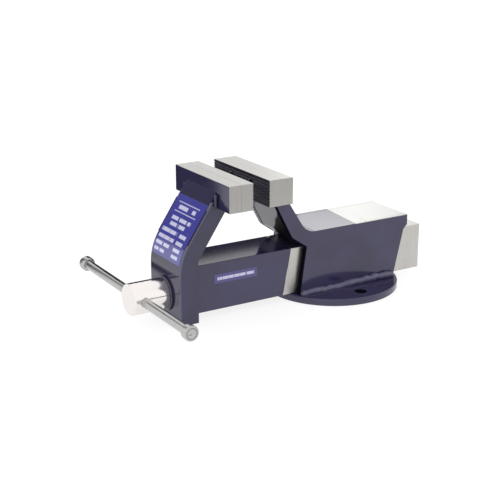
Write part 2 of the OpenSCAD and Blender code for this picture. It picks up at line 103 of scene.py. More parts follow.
class Graph:
    """A node tree that is being wired, with short calls for the nodes it uses most."""

    def __init__(self, tree: bpy.types.NodeTree) -> None:
        """Args:
            tree: the material's or the group's tree.
        """
        self.tree = tree

    def node(self, kind: str, **settings: object) -> bpy.types.Node:
        """Adds a node and sets its properties.

        Args:
            kind: the node's type name.
            **settings: the properties to set.

        Returns:
            The new node.
        """
        made = self.tree.nodes.new(kind)
        for name, value in settings.items():
            setattr(made, name, value)
        return made

    def feed(self, socket: bpy.types.NodeSocket, value: object) -> None:
        """Links another socket into this one, or sets it to a plain value.

        Args:
            socket: the input to feed.
            value: an output socket, a number, a vector or a colour.
        """
        if isinstance(value, bpy.types.NodeSocket):
            self.tree.links.new(value, socket)
        elif len(getattr(socket, "default_value", ()) if hasattr(value, "__len__") else ()) == 4:
            socket.default_value = (*value, 1.0)[:4]
        else:
            socket.default_value = value

    def math(self, operation: str, *values: object) -> bpy.types.NodeSocket:
        """Works out one arithmetic step.

        Args:
            operation: the Math node's operation.
            *values: its inputs, in order.

        Returns:
            The result.
        """
        made = self.node("ShaderNodeMath", operation=operation)
        for socket, value in zip(made.inputs, values):
            self.feed(socket, value)
        return made.outputs["Value"]

    def vector(self, operation: str, *values: object) -> bpy.types.NodeSocket:
        """Works out one vector step.

        Args:
            operation: the Vector Math node's operation.
            *values: its inputs, in order.

        Returns:
            The vector, or the number for a dot product.
        """
        made = self.node("ShaderNodeVectorMath", operation=operation)
        for socket, value in zip(made.inputs, values):
            self.feed(socket, value)
        return made.outputs["Value" if operation == "DOT_PRODUCT" else "Vector"]

    def ramp(self, value: object, low: object, high: object, start: object = 0.0,
             end: object = 1.0) -> bpy.types.NodeSocket:
        """Eases from start to end as the value goes from low to high.

        Args:
            value: what is being measured.
            low: where the ramp starts.
            high: where it ends.
            start: the result at low.
            end: the result at high.

        Returns:
            The eased value.
        """
        made = self.node("ShaderNodeMapRange", interpolation_type="SMOOTHSTEP")
        for name, given in (("Value", value), ("From Min", low), ("From Max", high),
                            ("To Min", start), ("To Max", end)):
            self.feed(made.inputs[name], given)
        return made.outputs["Result"]

    def blend(self, mask: object, first: object, second: object) -> bpy.types.NodeSocket:
        """Mixes two colours.

        Args:
            mask: 0 for the first colour and 1 for the second.
            first: a colour.
            second: a colour.

        Returns:
            The mixed colour.
        """
        made = self.node("ShaderNodeMix", data_type="RGBA")
        self.feed(made.inputs[0], mask)
        self.feed(made.inputs[6], first)
        self.feed(made.inputs[7], second)
        return made.outputs[2]

    def between(self, mask: object, first: object, second: object) -> bpy.types.NodeSocket:
        """Mixes two numbers, 0 for the first and 1 for the second."""
        made = self.node("ShaderNodeMix", data_type="FLOAT")
        for index, value in enumerate((mask, first, second)):
            if index == 0:
                self.feed(made.inputs[0], value)
            else:
                self.feed(made.inputs[1 + index], value)
        return made.outputs[0]

    def noise(self, place: object, scale: object, detail: float = 2.0,
              distortion: float = 0.0) -> bpy.types.NodeSocket:
        """Adds a cloudy pattern.

        Args:
            place: the coordinates to read.
            scale: how many clouds there are to a unit of length.
            detail: how many finer layers it has.
            distortion: how far it is pulled about.

        Returns:
            The pattern, from 0 to 1 and mostly near a half.
        """
        made = self.node("ShaderNodeTexNoise")
        self.feed(made.inputs["Vector"], place)
        self.feed(made.inputs["Scale"], scale)
        made.inputs["Detail"].default_value = detail
        made.inputs["Distortion"].default_value = distortion
        return made.outputs["Fac"]

    def place(self) -> bpy.types.NodeSocket:
        """The point's own place on the piece, in metres."""
        return self.node("ShaderNodeTexCoord").outputs["Object"]

    def group(self, tree: bpy.types.NodeTree, **inputs: object) -> bpy.types.Node:
        """Places one of the shared effects.

        Args:
            tree: the effect's node group.
            **inputs: its inputs by name, with _ for a space.

        Returns:
            The group's node.
        """
        made = self.node("ShaderNodeGroup", node_tree=tree)
        for name, value in inputs.items():
            self.feed(made.inputs[name.replace("_", " ")], value)
        return made


def new_effect(name: str, inputs: dict[str, object],
               outputs: dict[str, str]) -> tuple[Graph, bpy.types.Node, bpy.types.Node]:
    """Starts a shader node group with named sockets.

    Args:
        name: the group's name.
        inputs: each input's name and its usual value.
        outputs: each output's name and its socket type.

    Returns:
        The graph, the node that holds the inputs and the node that takes the outputs.
    """
    tree = bpy.data.node_groups.new(name, "ShaderNodeTree")
    for label, value in inputs.items():
        kind = "NodeSocketFloat" if isinstance(value, float) else "NodeSocketVector"
        socket = tree.interface.new_socket(label, in_out="INPUT", socket_type=kind)
        socket.default_value = value
    for label, kind in outputs.items():
        tree.interface.new_socket(label, in_out="OUTPUT", socket_type=kind)
    graph = Graph(tree)
    return graph, graph.node("NodeGroupInput"), graph.node("NodeGroupOutput")


class Effects:
    """The node groups that several finishes share, each built once."""

    def __init__(self) -> None:
        """Builds every group."""
        self.orange_peel = self._orange_peel()
        self.grind_lines = self._grind_lines()
        self.smears = self._smears()
        self.beyond = self._beyond()
        self.rim_wear_and_highlight = self._rim_wear()
        self.specks = self._specks()

    @staticmethod
    def _orange_peel() -> bpy.types.NodeTree:
        """Sprayed paint's low ripple, with broader runs under it."""
        graph, given, result = new_effect(
            "orange_peel", {"Scale": 420.0, "Depth": 0.000003, "Runs": 0.00002},
            {"Normal": "NodeSocketVector"})
        place = graph.place()
        fine = graph.noise(place, given.outputs["Scale"], 1.0)
        broad = graph.noise(place, 48.0, 1.0)
        height = graph.math("ADD", graph.math("MULTIPLY", fine, given.outputs["Depth"]),
                            graph.math("MULTIPLY", broad, given.outputs["Runs"]))
        bump = graph.node("ShaderNodeBump")
        bump.inputs["Distance"].default_value = 1.0
        graph.feed(bump.inputs["Height"], height)
        graph.feed(result.inputs["Normal"], bump.outputs["Normal"])
        return graph.tree

    @staticmethod
    def _grind_lines() -> bpy.types.NodeTree:
        """Fine parallel lines that a grinding wheel or a file leaves."""
        graph, given, result = new_effect(
            "grind_lines", {"Grain": (160.0, 160.0, 160.0), "Depth": 0.000004},
            {"Shade": "NodeSocketFloat", "Normal": "NodeSocketVector"})
        stretched = graph.vector("MULTIPLY", graph.place(), given.outputs["Grain"])
        lines = graph.noise(stretched, 4.0, 3.0, 0.15)
        bump = graph.node("ShaderNodeBump")
        bump.inputs["Distance"].default_value = 1.0
        graph.feed(bump.inputs["Height"], graph.math("MULTIPLY", lines, given.outputs["Depth"]))
        graph.feed(result.inputs["Shade"], lines)
        graph.feed(result.inputs["Normal"], bump.outputs["Normal"])
        return graph.tree

    @staticmethod
    def _smears() -> bpy.types.NodeTree:
        """Cloudy stains, such as oil that was wiped over bare metal."""
        graph, given, result = new_effect(
            "smears", {"Scale": 90.0, "Amount": 0.5, "Stretch": (1.0, 1.0, 1.0)},
            {"Mask": "NodeSocketFloat"})
        stretched = graph.vector("MULTIPLY", graph.place(), given.outputs["Stretch"])
        cloud = graph.noise(stretched, given.outputs["Scale"], 3.0, 1.2)
        low = graph.math("SUBTRACT", 0.78, graph.math("MULTIPLY", given.outputs["Amount"], 0.4))
        mask = graph.ramp(cloud, low, graph.math("ADD", low, 0.34))
        graph.feed(result.inputs["Mask"], mask)
        return graph.tree

    @staticmethod
    def _beyond() -> bpy.types.NodeTree:
        """1 beyond a plane and 0 before it, with an edge that wanders a little."""
        graph, given, result = new_effect(
            "beyond", {"Direction": (0.0, 1.0, 0.0), "Distance": 0.0, "Wander": 0.0006,
                       "Softness": 0.0003}, {"Mask": "NodeSocketFloat"})
        place = graph.place()
        along = graph.vector("DOT_PRODUCT", place, given.outputs["Direction"])
        ripple = graph.math("SUBTRACT", graph.noise(place, 70.0, 3.0), 0.5)
        wander = graph.math("MULTIPLY", ripple, graph.math("MULTIPLY", given.outputs["Wander"], 4.0))
        past = graph.math("SUBTRACT", graph.math("ADD", along, wander), given.outputs["Distance"])
        mask = graph.ramp(past, graph.math("MULTIPLY", given.outputs["Softness"], -1.0),
                          given.outputs["Softness"])
        graph.feed(result.inputs["Mask"], mask)
        return graph.tree

    @staticmethod
    def _rim_wear() -> bpy.types.NodeTree:
        """Patches along softened edges, which carry the rim attribute: rubbed paint, and with a large
        amount a painted highlight along the whole edge.
        """
        graph, given, result = new_effect(
            "rim_wear_and_highlight", {"Amount": 0.3, "Scale": 260.0}, {"Mask": "NodeSocketFloat"})
        rim = graph.node("ShaderNodeAttribute", attribute_name="rim").outputs["Fac"]
        cloud = graph.noise(graph.place(), given.outputs["Scale"], 3.0)
        low = graph.math("SUBTRACT", 0.75, graph.math("MULTIPLY", given.outputs["Amount"], 0.4))
        patch = graph.ramp(cloud, low, graph.math("ADD", low, 0.08))
        graph.feed(result.inputs["Mask"], graph.math("MULTIPLY", rim, patch))
        return graph.tree

    @staticmethod
    def _specks() -> bpy.types.NodeTree:
        """Small scattered pits or dust grains."""
        graph, given, result = new_effect(
            "specks", {"Scale": 700.0, "Amount": 0.2}, {"Mask": "NodeSocketFloat"})
        cell = graph.node("ShaderNodeTexVoronoi", feature="F1")
        graph.feed(cell.inputs["Vector"], graph.place())
        graph.feed(cell.inputs["Scale"], given.outputs["Scale"])
        size = graph.math("MULTIPLY", given.outputs["Amount"], 0.5)
        dot = graph.ramp(cell.outputs["Distance"], 0.0, size, 1.0, 0.0)
        area = graph.ramp(graph.noise(graph.place(), 120.0, 2.0), 0.5, 0.62)
        graph.feed(result.inputs["Mask"], graph.math("MULTIPLY", dot, area))
        return graph.tree


# ---- Finishes


@dataclass(frozen=True)
class BareSide:
    """One plane beyond which there is no paint.

    Attributes:
        direction: the unit vector that points to the bare side.
        distance: the plane's distance from the origin along it.
        wander: how far the paint's edge strays.
        softness: half the width of the paint's edge.
    """

    direction: Triple
    distance: float
    wander: float = 0.5 * MM
    softness: float = 0.25 * MM


@dataclass(frozen=True)
class Steel:
    """Bare ground steel, with grinding lines, oil smears and small pits.

    Attributes:
        name: the material's name.
        colour: its clean colour.
        stain: the colour of its smears.
        grain: which way it was ground.
        roughness: how dull it is.
        smeared: how much of it is smeared.
    """

    name: str
    colour: Colour = (0.49, 0.475, 0.455)
    stain: Colour = (0.42, 0.345, 0.315)
    grain: Grain = Grain.ALONG_X
    roughness: float = 0.3
    smeared: float = 0.55

    def tones(self, graph: Graph, effects: Effects) -> tuple[bpy.types.NodeSocket, ...]:
        """Wires the parts of the finish that vary over the surface.

        Args:
            graph: the material's graph.
            effects: the shared node groups.

        Returns:
            Its colour, roughness and normal.
        """
        lines = graph.group(effects.grind_lines, Grain=self.grain.value)
        smear = graph.group(effects.smears, Amount=self.smeared).outputs["Mask"]
        pits = graph.group(effects.specks, Amount=0.16).outputs["Mask"]
        dim = tuple(0.88 * part for part in self.colour)
        clean = graph.blend(graph.ramp(lines.outputs["Shade"], 0.3, 0.7), dim, self.colour)
        stained = graph.blend(graph.math("MULTIPLY", smear, 0.55), clean, self.stain)
        colour = graph.blend(graph.math("MULTIPLY", pits, 0.5), stained, (0.2, 0.18, 0.17))
        dull = graph.math("ADD", graph.math("MULTIPLY", smear, 0.14), self.roughness)
        return colour, dull, lines.outputs["Normal"]

    def build(self, effects: Effects) -> bpy.types.Material:
        """Makes the material from the shared effects."""
        material, graph, shader = new_material(self.name)
        colour, dull, normal = self.tones(graph, effects)
        shader.inputs["Metallic"].default_value = 1.0
        graph.feed(shader.inputs["Base Color"], colour)
        graph.feed(shader.inputs["Roughness"], dull)
        graph.feed(shader.inputs["Normal"], normal)
        return material


@dataclass(frozen=True)
class Enamel:
    """Glossy stoved enamel over steel, which may stop along planes where the steel is bare.

    Attributes:
        name: the material's name.
        colour: the paint's colour.
        bare: the steel is bare where it lies beyond every one of these planes.
        steel: the bare steel's finish; on the neck's front web it is a near-black finish that is painted
            shade.
        worn: how much of the softened edges is rubbed thin; a large amount covers them all, which is a
            painted highlight.
        thin_and_highlight_colour: the paint's colour where it is thin, and the colour of the painted
            highlight along the edges.
        runs: how deep the paint's broad ripples are.
    """

    name: str = "blue_enamel"
    colour: Colour = (0.0235, 0.0195, 0.062)
    bare: tuple[BareSide, ...] = ()
    steel: Steel = Steel("under_enamel")
    worn: float = 0.12
    thin_and_highlight_colour: Colour = (0.12, 0.115, 0.17)
    runs: float = 0.02 * MM

    def build(self, effects: Effects) -> bpy.types.Material:
        """Makes the material from the shared effects."""
        material, graph, shader = new_material(self.name)
        tint = graph.noise(graph.place(), 30.0, 3.0)
        deep = tuple(0.84 * part for part in self.colour)
        light = tuple(1.16 * part for part in self.colour)
        paint = graph.blend(graph.ramp(tint, 0.3, 0.7), deep, light)
        dust = graph.group(effects.specks, Scale=900.0, Amount=0.1).outputs["Mask"]
        paint = graph.blend(graph.math("MULTIPLY", dust, 0.25), paint, (0.3, 0.3, 0.34))
        # Rubbed edges are lighter; with a large worn amount the lighter colour covers the whole edge as
        # a painted highlight.
        thin = graph.group(effects.rim_wear_and_highlight, Amount=self.worn).outputs["Mask"]
        paint = graph.blend(graph.math("MULTIPLY", thin, 0.6), paint, self.thin_and_highlight_colour)
        # Painted shade: faces marked with the cut attribute (the bolt holes' walls and the right side
        # plate's front and rear edges) are painted near-black, dull and without coat.
        cut = graph.node("ShaderNodeAttribute", attribute_name="cut").outputs["Fac"]
        paint = graph.blend(cut, paint, (0.005, 0.005, 0.008))
        gloss = graph.math("ADD", graph.math("MULTIPLY", graph.math("MAXIMUM", dust, cut), 0.25), 0.34)
        coat = graph.math("SUBTRACT", 1.0, cut)
        peel = graph.group(effects.orange_peel, Runs=self.runs).outputs["Normal"]
        shader.inputs["Coat Roughness"].default_value = 0.12
        shader.inputs["Specular IOR Level"].default_value = 0.0
        shader.inputs["Coat IOR"].default_value = 1.6
        if not self.bare:
            graph.feed(shader.inputs["Coat Weight"], coat)
            graph.feed(shader.inputs["Base Color"], paint)
            graph.feed(shader.inputs["Roughness"], gloss)
            graph.feed(shader.inputs["Normal"], peel)
            return material
        mask: object = 1.0
        for side in self.bare:
            beyond = graph.group(effects.beyond, Direction=side.direction, Distance=side.distance,
                                 Wander=side.wander, Softness=side.softness).outputs["Mask"]
            mask = graph.math("MULTIPLY", mask, beyond)
        colour, dull, _ = self.steel.tones(graph, effects)
        step = graph.node("ShaderNodeBump", invert=True)
        step.inputs["Distance"].default_value = 0.12 * MM
        graph.feed(step.inputs["Height"], mask)
        graph.feed(step.inputs["Normal"], peel)
        graph.feed(shader.inputs["Base Color"], graph.blend(mask, paint, colour))
        graph.feed(shader.inputs["Metallic"], mask)
        graph.feed(shader.inputs["Roughness"], graph.between(mask, gloss, dull))
        graph.feed(shader.inputs["Coat Weight"],
                   graph.math("MULTIPLY", coat, graph.math("SUBTRACT", 1.0, mask)))
        graph.feed(shader.inputs["Normal"], step.outputs["Normal"])
        return material


@dataclass(frozen=True)
class JawSteel:
    """Ground steel whose gripping face, marked by the grip attribute, is dark.

    Attributes:
        name: the material's name.
        steel: the finish of its other faces.
        grip_colour: the gripping face's colour.
    """

    name: str = "jaw_plate_steel"
    steel: Steel = Steel("under_jaw_plate")
    grip_colour: Colour = (0.10, 0.098, 0.125)

    def build(self, effects: Effects) -> bpy.types.Material:
        """Makes the material from the shared effects."""
        material, graph, shader = new_material(self.name)
        colour, dull, normal = self.steel.tones(graph, effects)
        grip = graph.node("ShaderNodeAttribute", attribute_name="grip").outputs["Fac"]
        # Painted highlight: patches of the softened edges are made lighter where they lie on the
        # gripping face.
        crest = graph.group(effects.rim_wear_and_highlight, Amount=0.9, Scale=180.0).outputs["Mask"]
        dark_grip = graph.blend(graph.math("MULTIPLY", crest, 0.5), self.grip_colour, (0.26, 0.26, 0.28))
        shader.inputs["Metallic"].default_value = 1.0
        graph.feed(shader.inputs["Base Color"], graph.blend(grip, colour, dark_grip))
        graph.feed(shader.inputs["Roughness"], graph.between(grip, dull, 0.42))
        graph.feed(shader.inputs["Normal"], normal)
        return material


@dataclass(frozen=True)
class PlainMetal:
    """A turned, plated or cast metal with fine lines, stains and pits.

    Attributes:
        name: the material's name.
        colour: its colour.
        stain: the colour of its stains.
        grain: which way its lines run.
        roughness: how dull it is.
        line_depth: how deep its lines are.
        stained: how much of it is stained.
        dimmest: how bright its darkest lines are, as a share of its colour.
    """

    name: str
    colour: Colour
    stain: Colour
    grain: Grain
    roughness: float
    line_depth: float
    stained: float = 0.4
    dimmest: float = 0.88

    def build(self, effects: Effects) -> bpy.types.Material:
        """Makes the material from the shared effects."""
        material, graph, shader = new_material(self.name)
        lines = graph.group(effects.grind_lines, Grain=self.grain.value, Depth=self.line_depth)
        smear = graph.group(effects.smears, Scale=130.0, Amount=self.stained).outputs["Mask"]
        pits = graph.group(effects.specks, Scale=500.0, Amount=0.12).outputs["Mask"]
        dim = tuple(self.dimmest * part for part in self.colour)
        clean = graph.blend(graph.ramp(lines.outputs["Shade"], 0.35, 0.65), dim, self.colour)
        stained = graph.blend(graph.math("MULTIPLY", smear, 0.5), clean, self.stain)
        colour = graph.blend(graph.math("MULTIPLY", pits, 0.4), stained, self.stain)
        dull = graph.math("ADD", graph.math("MULTIPLY", smear, 0.1), self.roughness)
        shader.inputs["Metallic"].default_value = 1.0
        graph.feed(shader.inputs["Base Color"], colour)
        graph.feed(shader.inputs["Roughness"], dull)
        graph.feed(shader.inputs["Normal"], lines.outputs["Normal"])
        return material


@dataclass(frozen=True)
class PrintedBar:
    """One printed bar of a label, in shares of the label's width and height.

    Attributes:
        left: its left end.
        right: its right end.
        low: its lower edge.
        high: its upper edge.
        words: how many gaps to a label's width break it up, or 0 for a solid bar.
    """

    left: float
    right: float
    low: float
    high: float
    words: float = 0.0


@dataclass(frozen=True)
class LabelFilm:
    """Glossy printed film with plain bars in place of words.

    Attributes:
        name: the material's name.
        corner: the label's lowest corner.
        across: the vector along its width, one label long.
        up: the vector along its height, one label high.
        bars: what is printed on it.
        colour: the film's colour.
        ink: the bars' colour.
    """

    name: str
    corner: Triple
    across: Triple
    up: Triple
    bars: tuple[PrintedBar, ...]
    colour: Colour = (0.020, 0.020, 0.27)
    ink: Colour = (0.55, 0.55, 0.74)

    def build(self, effects: Effects) -> bpy.types.Material:
        """Makes the material from the shared effects."""
        material, graph, shader = new_material(self.name)
        place = graph.vector("SUBTRACT", graph.place(), self.corner)
        share = [graph.vector("DOT_PRODUCT", place, tuple(Vector(way) / Vector(way).length_squared))
                 for way in (self.across, self.up)]
        ink: object = 0.0
        for bar in self.bars:
            sides = [(share[0], bar.left, 1.0), (share[0], bar.right, -1.0),
                     (share[1], bar.low, 1.0), (share[1], bar.high, -1.0)]
            mask: object = 1.0
            for value, limit, sign in sides:
                inside = graph.math("MULTIPLY", graph.math("SUBTRACT", value, limit), sign)
                mask = graph.math("MULTIPLY", mask, graph.ramp(inside, -0.004, 0.006))
            if bar.words:
                turn = graph.math("MULTIPLY", share[0], bar.words * math.tau)
                stray = graph.node("ShaderNodeTexNoise", noise_dimensions="1D")
                graph.feed(stray.inputs["W"], graph.math("ADD", turn, 100 * bar.low))
                stray.inputs["Scale"].default_value = 0.35
                swing = graph.math("MULTIPLY", stray.outputs["Fac"], 7.0)
                wave = graph.math("SINE", graph.math("ADD", turn, swing))
                mask = graph.math("MULTIPLY", mask, graph.ramp(wave, -0.97, -0.86))
            ink = graph.math("MAXIMUM", ink, mask)
        tint = graph.ramp(graph.noise(graph.place(), 40.0, 2.0), 0.3, 0.7)
        film = graph.blend(tint, tuple(0.85 * part for part in self.colour), self.colour)
        worn = graph.group(effects.smears, Scale=260.0, Amount=0.5).outputs["Mask"]
        faded = graph.math("MULTIPLY", ink, graph.ramp(worn, 0.0, 1.0, 0.95, 0.7))
        shader.inputs["Coat Weight"].default_value = 1.0
        shader.inputs["Coat Roughness"].default_value = 0.08
        graph.feed(shader.inputs["Base Color"], graph.blend(faded, film, self.ink))
        graph.feed(shader.inputs["Roughness"], graph.math("ADD", graph.math("MULTIPLY", worn, 0.1), 0.3))
        peel = graph.group(effects.orange_peel, Depth=0.000004, Runs=0.00002)
        graph.feed(shader.inputs["Normal"], peel.outputs["Normal"])
        return material


def new_material(name: str) -> tuple[bpy.types.Material, Graph, bpy.types.Node]:
    """Starts a material.

    Args:
        name: its name.

    Returns:
        The material, its graph and its Principled BSDF.
    """
    material = bpy.data.materials.new(name)
    material.use_nodes = True
    return material, Graph(material.node_tree), material.node_tree.nodes["Principled BSDF"]


Finish = Steel | Enamel | JawSteel | PlainMetal | LabelFilm


# ---- Mesh work


def merged_copy(node: str) -> bmesh.types.BMesh:
    """Copies a CAD node's mesh, with its triangles joined into whole faces.

    Args:
        node: the CAD node's name.

    Returns:
        The copy.
    """
    bm = bmesh.new()
    bm.from_mesh(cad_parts[node].data)
    bmesh.ops.remove_doubles(bm, verts=bm.verts, dist=0.002 * MM)
    bmesh.ops.dissolve_limit(bm, angle_limit=math.radians(0.5), verts=bm.verts, edges=bm.edges)
    bmesh.ops.dissolve_degenerate(bm, dist=0.002 * MM, edges=bm.edges)
    return bm


def any_edge(_: bmesh.types.BMEdge) -> bool:
    """Picks every edge."""
    return True


def outer_edge(node: str) -> EdgePick:
    """Picks the edges on a side plate's outer face.

    Args:
        node: a CAD node that lies to one side of the middle.

    Returns:
        The test of an edge.
    """
    low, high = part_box(node)
    reach = max(abs(low.x), abs(high.x)) - 0.05 * MM
    return lambda edge: all(abs(vert.co.x) > reach for vert in edge.verts)


def soften(bm: bmesh.types.BMesh, width: float, pick: EdgePick = any_edge, segments: int = 3) -> None:
    """Rounds the picked sharp outer edges, and marks them with the rim attribute.

    Args:
        bm: the mesh.
        width: how wide the rounding is.
        pick: which edges to round.
        segments: how many steps it has.
    """
    rim = bm.faces.layers.float.get("rim") or bm.faces.layers.float.new("rim")
    chosen = [edge for edge in bm.edges
              if len(edge.link_faces) == 2 and edge.is_convex
              and edge.calc_face_angle() > SHARP_ANGLE and pick(edge)]
    made = bmesh.ops.bevel(bm, geom=chosen, offset=width, offset_type="OFFSET", affect="EDGES",
                           segments=segments, profile=0.5, clamp_overlap=True, material=-1)
    for face in made["faces"]:
        face[rim] = 1.0


def mark(bm: bmesh.types.BMesh, name: str, pick: Callable[[bmesh.types.BMFace], bool]) -> None:
    """Sets a face attribute to 1 on the picked faces, for the finishes to read.

    Args:
        bm: the mesh.
        name: the attribute's name.
        pick: which faces to mark.
    """
    layer = bm.faces.layers.float.new(name)
    for face in bm.faces:
        face[layer] = float(pick(face))


def turned(profile: Sequence[tuple[float, float]], centre: Vector, axis: Vector,
           steps: int = 72) -> bmesh.types.BMesh:
    """Turns a profile about an axis.

    Args:
        profile: points given as the distance along the axis and the radius.
        centre: where the distances start.
        axis: the unit vector along the axis.
        steps: how many steps there are round it.

    Returns:
        The turned mesh.
    """
    bm = bmesh.new()
    outward = axis.orthogonal().normalized()
    verts = [bm.verts.new(centre + axis * along + outward * radius) for along, radius in profile]
    edges = [bm.edges.new(pair) for pair in zip(verts, verts[1:])]
    bmesh.ops.spin(bm, geom=verts + edges, cent=centre, axis=axis, angle=math.tau, steps=steps,
                   use_merge=True)
    bmesh.ops.remove_doubles(bm, verts=bm.verts, dist=0.01 * MM)
    bmesh.ops.recalc_face_normals(bm, faces=bm.faces)
    return bm


def helix(tooth: Sequence[tuple[float, float]], centre: Vector, axis: Vector, lead: float,
          turns: float, steps: int = 36) -> bmesh.types.BMesh:
    """Winds a closed tooth shape along a screw.

    Args:
        tooth: its corners, given as the distance along the axis and the radius.
        centre: where the distances start.
        axis: the unit vector along the axis.
        lead: how far it moves in one turn.
        turns: how many turns it makes.
        steps: how many steps there are in a turn.

    Returns:
        The wound mesh.
    """
    bm = bmesh.new()
    outward = axis.orthogonal().normalized()
    face = bm.faces.new([bm.verts.new(centre + axis * along + outward * radius)
                         for along, radius in tooth])
    count = round(turns * steps)
    bmesh.ops.spin(bm, geom=[face, *face.verts, *face.edges], cent=centre, axis=axis,
                   dvec=axis * lead / steps, angle=math.tau * turns, steps=count)
    bmesh.ops.recalc_face_normals(bm, faces=bm.faces)
    return bm


def bead(path: Sequence[Vector], radius: float, squash: float = 1.0, seed: int = 0,
         sides: int = 14) -> bmesh.types.BMesh:
    """Lays a rippled weld bead along a straight run, with rounded ends.

    Args:
        path: its two ends.
        radius: its usual radius.
        squash: how high it is for its width, measured along Z.
        seed: which irregularities it has.
        sides: how many sides its section has.

    Returns:
        The bead's mesh.
    """
    pitch = 1.5 * MM
    step = 0.3 * MM
    start, end = path
    along = (end - start).normalized()
    count = max(4, round((end - start).length / step))
    turn = along.to_track_quat("Z", "X").to_matrix().to_4x4()
    bm = bmesh.new()
    bmesh.ops.create_circle(bm, cap_ends=True, segments=sides, radius=radius,
                            matrix=Matrix.Translation(start) @ turn)
    loop = list(bm.edges)
    sizes = []
    for index in range(count + 1):
        run = index * step
        end_gap = min(run, (end - start).length - run) / radius
        taper = math.sqrt(max(0.04, 1 - (1 - min(1.0, max(0.0, end_gap))) ** 2))
        scale = 1 + 0.11 * abs(math.sin(math.pi * run / pitch))
        scale += 0.26 * noise.noise(Vector((run * 230, seed * 7.3, 0)))
        sizes.append(scale * taper)
    here = start.copy()
    bmesh.ops.scale(bm, vec=(sizes[0],) * 3, space=Matrix.Translation(-here), verts=bm.verts)
    for index in range(1, count + 1):
        made = bmesh.ops.extrude_edge_only(bm, edges=loop)["geom"]
        verts = [item for item in made if isinstance(item, bmesh.types.BMVert)]
        loop = [item for item in made if isinstance(item, bmesh.types.BMEdge)]
        drift = noise.noise_vector(Vector((index * 0.05, seed * 3.1, 1.7))) * 0.03 * radius
        bmesh.ops.translate(bm, vec=along * step + drift, verts=verts)
        here += along * step + drift
        ratio = sizes[index] / sizes[index - 1]
        bmesh.ops.scale(bm, vec=(ratio,) * 3, space=Matrix.Translation(-here), verts=verts)
    bmesh.ops.holes_fill(bm, edges=loop)
    bmesh.ops.scale(bm, vec=(1, 1, squash), space=Matrix.Translation(-start), verts=bm.verts)
    bmesh.ops.recalc_face_normals(bm, faces=bm.faces)
    return bm


def joined(*parts: bmesh.types.BMesh) -> bmesh.types.BMesh:
    """Puts several meshes into the first one.

    Args:
        *parts: the meshes, which are used up.

    Returns:
        The first mesh.
    """
    first = parts[0]
    for part in parts[1:]:
        carrier = bpy.data.meshes.new("carrier")
        part.to_mesh(carrier)
        part.free()
        first.from_mesh(carrier)
        bpy.data.meshes.remove(carrier)
    return first


class Workshop:
    """Makes finished pieces, and builds each finish once."""

    def __init__(self) -> None:
        """Builds the shared effects."""
        self.effects = Effects()
        self.materials: dict[str, bpy.types.Material] = {}

    def material(self, finish: Finish) -> bpy.types.Material:
        """The finish's material, built the first time that it is asked for."""
        if finish.name not in self.materials:
            self.materials[finish.name] = finish.build(self.effects)
        return self.materials[finish.name]

    def piece(self, bm: bmesh.types.BMesh, name: str, body: Body, slot: Slot, finish: Finish,
              *nodes: str) -> bpy.types.Object:
        """Turns a mesh into a finished piece on its body.

        Args:
            bm: the mesh, which is used up.
            name: the piece's name.
            body: the body that it rides on.
            slot: the record's slot for its finish; not used.
            finish: what it is made of.
            *nodes: the CAD nodes that it stands for.

        Returns:
            The piece.
        """
        mesh = bpy.data.meshes.new(name)
        bm.to_mesh(mesh)
        bm.free()
        mesh.polygons.foreach_set("use_smooth", [True] * len(mesh.polygons))
        mesh.set_sharp_from_angle(angle=SMOOTH_ANGLE)
        mesh.materials.append(self.material(finish))
        made = bpy.data.objects.new(name, mesh)
        bpy.context.scene.collection.objects.link(made)
        weighted = made.modifiers.new("weighted_normals", "WEIGHTED_NORMAL")
        weighted.keep_sharp = True
        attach(made, body.value)
        if nodes:
            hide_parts(*nodes)
        log.info("%s: %d faces, on %s", name, len(mesh.polygons), body.value)
        return made

    def softened(self, node: str, body: Body, slot: Slot, finish: Finish, width: float,
                 pick: EdgePick = any_edge, segments: int = 3) -> bpy.types.Object:
        """Makes a finished piece from a CAD node, with its outer edges rounded.

        Args:
            node: the CAD node's name.
            body: the body that it rides on.
            slot: the record's slot for its finish.
            finish: what it is made of.
            width: how wide the rounding is.
            pick: which edges are rounded.
            segments: how many steps the rounding has.

        Returns:
            The piece.
        """
        bm = merged_copy(node)
        soften(bm, width, pick, segments)
        return self.piece(bm, f"{node}_finished", body, slot, finish, node)


# ---- The finishes that the vise uses

PAINT_STOPS_ON_ANVIL = BareSide((0.0977, 0.9952, 0.0), 11.2 * MM, 0.35 * MM)
PAINT_STOPS_ON_SLIDE = BareSide((0.0, 0.9818, -0.1897), -71.9 * MM, 0.25 * MM)
# Painted shade: below this slanting plane the neck's front web is painted near-black, where the throat
# lies in shade.
SHADE_ON_NECK = BareSide((0.695, 0.0, -0.719), -50.2 * MM, 1.2 * MM, 1.4 * MM)
TOP_SKIN = 0.35 * MM

ENAMEL = Enamel()
ARM_ENAMEL = Enamel("arm_enamel", (0.018, 0.0155, 0.05))
# Painted highlight: the front plate's rounded corners are lightened along their whole length.
ARM_FRONT_HIGHLIGHT_ENAMEL = Enamel("arm_front_highlight_enamel", ARM_ENAMEL.colour, worn=1.4)
